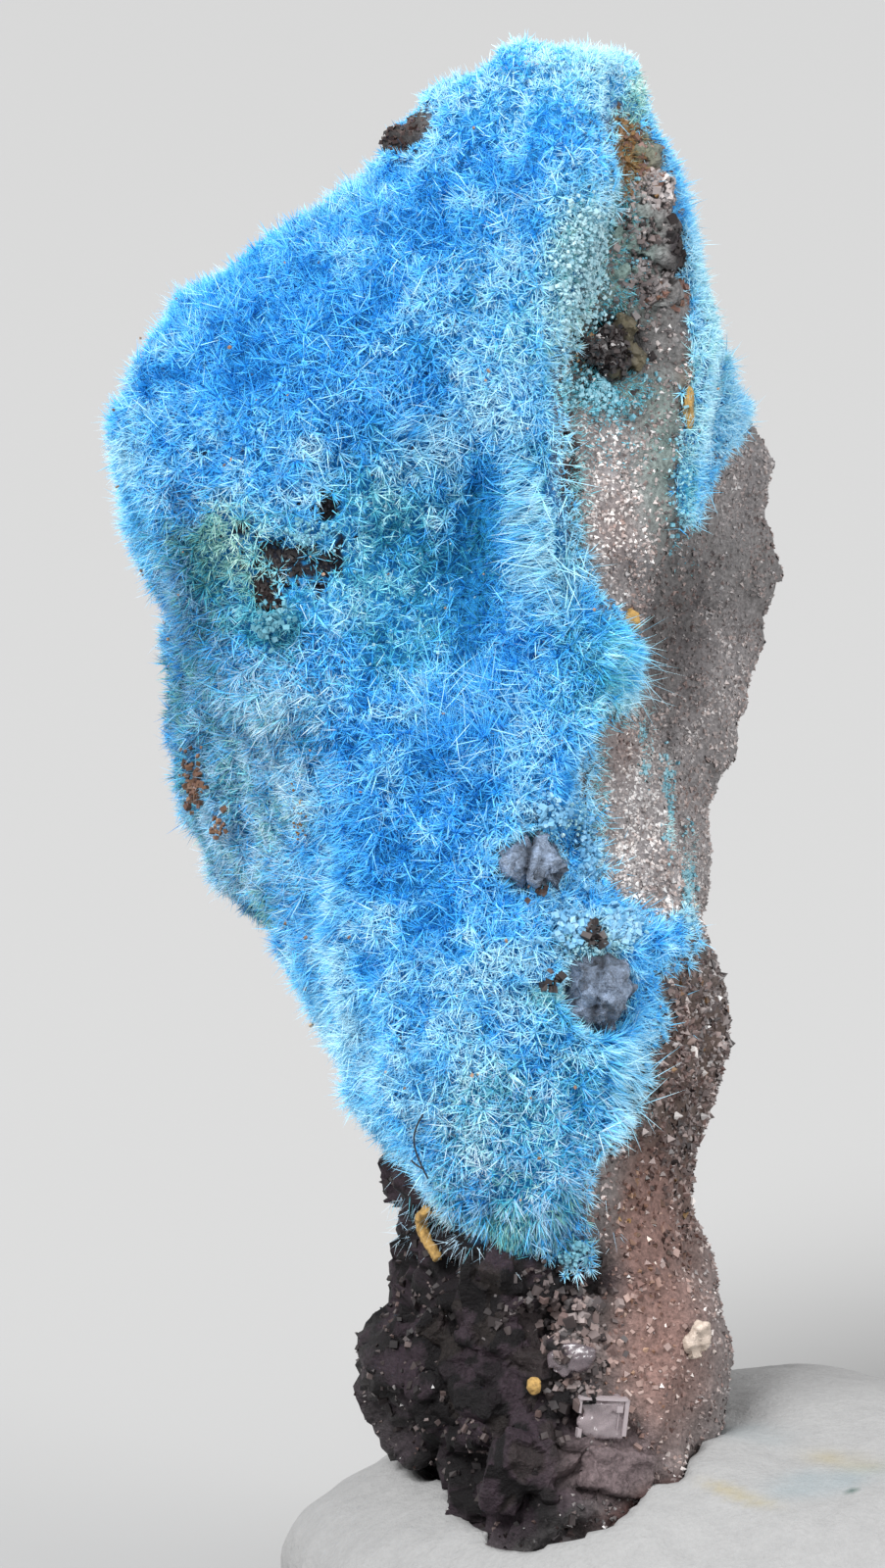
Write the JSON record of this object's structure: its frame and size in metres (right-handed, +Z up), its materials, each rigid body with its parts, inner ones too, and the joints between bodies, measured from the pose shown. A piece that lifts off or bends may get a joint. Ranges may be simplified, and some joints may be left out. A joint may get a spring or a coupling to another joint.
{
  "type": "mineral specimen",
  "caption": "Upright slab of sugary quartz rock coated on one side with a felt of blue needle crystals, its foot pressed into a blob of mounting putty.",
  "frame": {"origin": "on the surface the putty rests on, under the middle of the bounding box", "axes": "+Z up, -Y towards the viewer of the picture (the face with the most blue felt), +X to that viewer's right"},
  "size_m": [0.0132, 0.012, 0.0208],
  "materials": {
    "matrix": "matte",
    "cyanotrichite": "satin",
    "grey_quartz": "satin",
    "black_crystals": "gloss",
    "clear_crystal": "gloss",
    "cream_crystal": "satin",
    "ochre": "matte",
    "putty": "matte"
  },
  "bodies": {
    "root": {"matrix_rock": "matrix", "cyanotrichite_crust": "cyanotrichite", "grey_quartz_knob_upper": "grey_quartz", "grey_quartz_knob_lower": "grey_quartz", "black_crystal_cluster": "black_crystals", "clear_square_crystal": "clear_crystal", "clear_flake": "clear_crystal", "cream_flake": "cream_crystal", "ochre_curl": "ochre", "ochre_grain_foot": "ochre", "ochre_grain_side": "ochre", "ochre_fleck_rim": "ochre", "putty_mount": "putty"}
  },
  "joints": []
}
